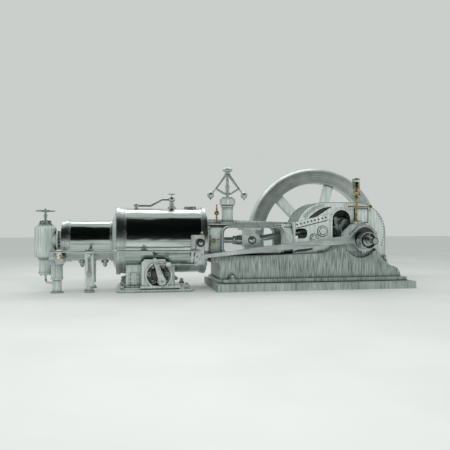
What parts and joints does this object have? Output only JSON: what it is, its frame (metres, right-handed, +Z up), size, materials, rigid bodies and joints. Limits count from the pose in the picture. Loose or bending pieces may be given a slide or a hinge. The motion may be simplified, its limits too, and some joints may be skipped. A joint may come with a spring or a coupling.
{
  "type": "horizontal tandem compound steam engine",
  "caption": "Horizontal steam engine with tandem cylinders, bored crosshead guide, crank under a hood, flywheel, ball governor and valve gear on a cast bed over a foundation block.",
  "frame": {"origin": "on the ground, under the point where the crankshaft's axis crosses the cylinders' axis", "axes": "+X along the engine from the cylinders to the crankshaft, +Y along the crankshaft to the flywheel, +Z up"},
  "size_m": [5.9799, 3.021, 2.5534],
  "materials": {
    "masonry": "dressed stone and cement, matt",
    "frame_paint": "pale grey-green engine paint on castings",
    "planished_lagging": "dark blued planished sheet",
    "machined_iron": "turned bright iron",
    "wheel_paint": "pale engine paint",
    "hood_sheet_paint": "painted sheet",
    "bright_steel": "polished steel",
    "brass": "polished brass"
  },
  "bodies": {
    "engine": {"foundation_block": "masonry", "bed": "frame_paint", "crosshead_guide": "frame_paint", "large_front_cover": "machined_iron", "large_cylinder": "planished_lagging", "large_rear_cover": "machined_iron", "distance_cone": "frame_paint", "small_cylinder": "planished_lagging", "small_rear_cover": "machined_iron", "stop_valve_body": "frame_paint", "stop_valve_bonnet": "machined_iron", "drain_pipe": "bright_steel", "drain_pot": "frame_paint", "small_cylinder_legs": "frame_paint", "large_base_plate": "frame_paint", "large_saddle_block": "frame_paint", "valve_gear_stand": "frame_paint", "rocker_bracket": "machined_iron", "rod_guide_large": "machined_iron", "rod_guide_small": "machined_iron", "small_gear_bracket": "machined_iron", "relief_pipe": "machined_iron", "top_cover": "machined_iron", "main_bearing_near": "frame_paint", "main_bearing_far": "frame_paint", "outboard_pedestal": "frame_paint", "hood_sheet": "hood_sheet_paint", "hood_far_side": "hood_sheet_paint", "hood_near_side": "hood_sheet_paint", "bearing_oiler": "brass", "governor_column": "frame_paint", "guide_lubricator": "brass"},
    "crankshaft": {"crank_near": "bright_steel", "crank_far": "bright_steel", "flywheel_rim": "machined_iron", "flywheel_spider": "wheel_paint", "eccentric_sheave": "machined_iron", "belt_drum": "machined_iron"},
    "eccentric": {"eccentric_strap": "bright_steel", "eccentric_rod": "bright_steel"},
    "crosshead": {"crosshead": "bright_steel", "piston_rod": "bright_steel"},
    "connecting_rod": {"connecting_rod": "bright_steel", "big_end_bearing": "bright_steel", "crank_pin": "bright_steel"},
    "rocker": {"rocker": "bright_steel"},
    "small_valve_rod": {"small_valve_rod": "bright_steel"},
    "large_valve_rod": {"large_valve_rod": "bright_steel"},
    "large_gear_lever": {"large_gear_lever": "bright_steel"},
    "small_gear_lever": {"small_gear_lever": "bright_steel"},
    "governor_head": {"governor_spindle": "bright_steel"},
    "governor_arm_left": {"governor_arm_left": "bright_steel"},
    "governor_arm_right": {"governor_arm_right": "bright_steel"},
    "governor_link_left": {"governor_link_left": "bright_steel"},
    "governor_link_right": {"governor_link_right": "bright_steel"},
    "governor_sleeve": {"governor_sleeve": "bright_steel"},
    "handwheel": {"stop_valve_handwheel": "bright_steel"},
    "relief_wheel": {"relief_wheel": "bright_steel"}
  },
  "joints": [
    {"name": "crankshaft_turn", "type": "hinge", "parent": "engine", "child": "crankshaft", "pos_m": [0, 0, 0.705], "axis": [0, 1, 0], "continuous": true},
    {"name": "eccentric_turn", "type": "hinge", "parent": "crankshaft", "child": "eccentric", "pos_m": [0.0225, -0.49, 0.74397], "axis": [0, 1, 0], "continuous": true},
    {"name": "crosshead_slide", "type": "slide", "parent": "engine", "child": "crosshead", "axis": [1, 0, 0], "range_m": [-0.1658, 0.3342]},
    {"name": "connecting_rod_swing", "type": "hinge", "parent": "crosshead", "child": "connecting_rod", "pos_m": [-1.5842, 0, 0.705], "axis": [0, -1, 0], "range_deg": [-18.35, 0.84]},
    {"name": "rocker_swing", "type": "hinge", "parent": "engine", "child": "rocker", "pos_m": [-2.418, -0.545, 0.681], "axis": [0, 1, 0], "range_deg": [-12.8, 12.8]},
    {"name": "small_valve_rod_slide", "type": "slide", "parent": "engine", "child": "small_valve_rod", "axis": [1, 0, 0], "range_m": [-0.0245, 0.0245]},
    {"name": "large_valve_rod_slide", "type": "slide", "parent": "engine", "child": "large_valve_rod", "axis": [1, 0, 0], "range_m": [-0.066, 0.066]},
    {"name": "large_gear_lever_swing", "type": "hinge", "parent": "engine", "child": "large_gear_lever", "pos_m": [-2.946, -0.545, 0.15], "axis": [0, 1, 0], "range_deg": [-16, 16]},
    {"name": "small_gear_lever_swing", "type": "hinge", "parent": "engine", "child": "small_gear_lever", "pos_m": [-4.403, -0.545, 0.445], "axis": [0, 1, 0], "range_deg": [-11, 11]},
    {"name": "governor_spin", "type": "hinge", "parent": "engine", "child": "governor_head", "pos_m": [-1.938, 0, 1.5], "axis": [0, 0, 1], "continuous": true},
    {"name": "governor_lift", "type": "hinge", "parent": "governor_head", "child": "governor_arm_left", "pos_m": [-1.96, 0, 1.681], "axis": [0, 1, 0], "range_deg": [-3, 3]},
    {"name": "governor_lift_right", "type": "hinge", "parent": "governor_head", "child": "governor_arm_right", "pos_m": [-1.916, 0, 1.681], "axis": [0, 1, 0], "range_deg": [-3, 3]},
    {"name": "governor_link_left_swing", "type": "hinge", "parent": "governor_arm_left", "child": "governor_link_left", "pos_m": [-2.11225, 0, 1.47481], "axis": [0, 1, 0], "range_deg": [-13, 13]},
    {"name": "governor_link_right_swing", "type": "hinge", "parent": "governor_arm_right", "child": "governor_link_right", "pos_m": [-1.76375, 0, 1.47481], "axis": [0, 1, 0], "range_deg": [-13, 13]},
    {"name": "governor_sleeve_slide", "type": "slide", "parent": "governor_head", "child": "governor_sleeve", "axis": [0, 0, 1], "range_m": [-0.03, 0.03]},
    {"name": "handwheel_turn", "type": "hinge", "parent": "engine", "child": "handwheel", "pos_m": [-4.553, 0, 1.1], "axis": [0, 0, 1], "range_deg": [0, 1800]},
    {"name": "relief_wheel_turn", "type": "hinge", "parent": "engine", "child": "relief_wheel", "pos_m": [-2.773, 0, 1.38], "axis": [0, 0, 1], "range_deg": [0, 720]}
  ],
  "couplings": [
    {"joint": "eccentric_turn", "follows": "crankshaft_turn", "ratio": -1},
    {"joint": "small_valve_rod_slide", "follows": "rocker_swing", "m_per_rad": -0.106},
    {"joint": "large_valve_rod_slide", "follows": "rocker_swing", "m_per_rad": -0.291},
    {"joint": "large_gear_lever_swing", "follows": "rocker_swing", "ratio": -1.2125},
    {"joint": "small_gear_lever_swing", "follows": "rocker_swing", "ratio": -0.8154},
    {"joint": "governor_lift_right", "follows": "governor_lift", "ratio": -1},
    {"joint": "governor_link_left_swing", "follows": "governor_lift", "ratio": -3.7493},
    {"joint": "governor_link_right_swing", "follows": "governor_lift", "ratio": 3.7493},
    {"joint": "governor_sleeve_slide", "follows": "governor_lift", "m_per_rad": 0.5094}
  ]
}
